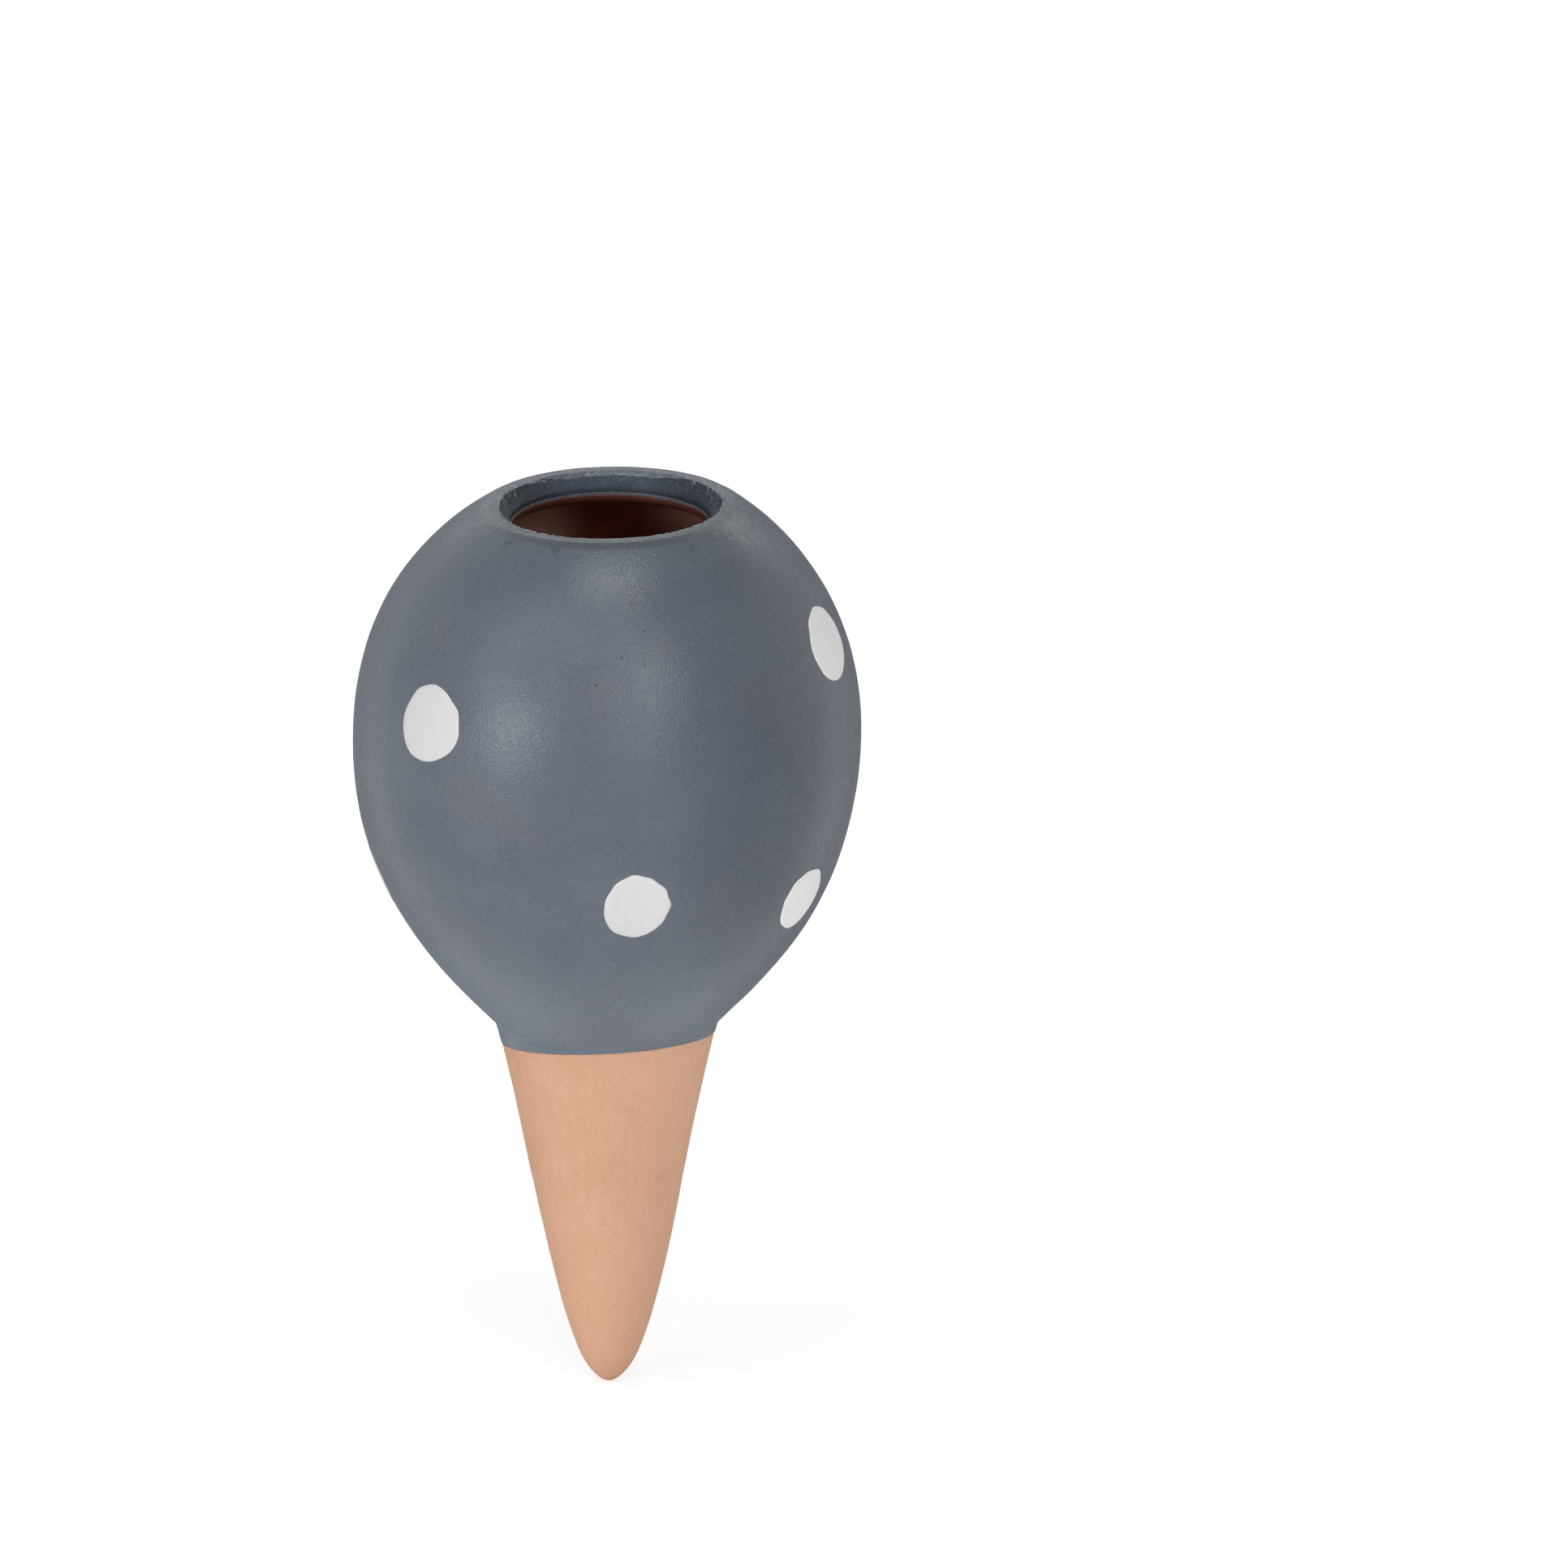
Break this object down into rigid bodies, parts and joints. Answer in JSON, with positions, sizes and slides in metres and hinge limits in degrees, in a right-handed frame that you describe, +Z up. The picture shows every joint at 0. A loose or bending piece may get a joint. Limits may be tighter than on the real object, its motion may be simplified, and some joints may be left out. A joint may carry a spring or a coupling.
{
  "type": "self watering spike",
  "caption": "Hollow clay globe with an open mouth on a porous pointed clay spike, pushed into the soil to feed a plant with water.",
  "frame": {"origin": "on the axis at the soil line, the mean level of the line where the slate coat ends on the spike", "axes": "+Z up along the axis towards the mouth, -Y towards the picture's camera, +X to its right"},
  "size_m": [0.1, 0.1, 0.1813],
  "materials": {
    "slate_coat": "brushed-on slate-grey coat, satin, with fine grain and pits",
    "white_paint": "hand-painted white, satin",
    "porous_clay": "unglazed earthenware, matte and porous",
    "clay_body": "earthenware under the coat and the lining, matte",
    "clay_slip": "fired slip, matte",
    "brown_lining": "thin brown lining, satin"
  },
  "bodies": {
    "root": {"reservoir_globe": "clay_body", "porous_spike": "porous_clay", "luting_slip": "clay_slip", "reservoir_lining": "brown_lining", "slate_coat": "slate_coat", "white_dot_1": "white_paint", "white_dot_2": "white_paint", "white_dot_3": "white_paint", "white_dot_4": "white_paint", "white_dot_5": "white_paint", "white_dot_6": "white_paint", "white_dot_7": "white_paint", "white_dot_8": "white_paint", "white_dot_9": "white_paint", "white_dot_10": "white_paint"}
  },
  "joints": []
}
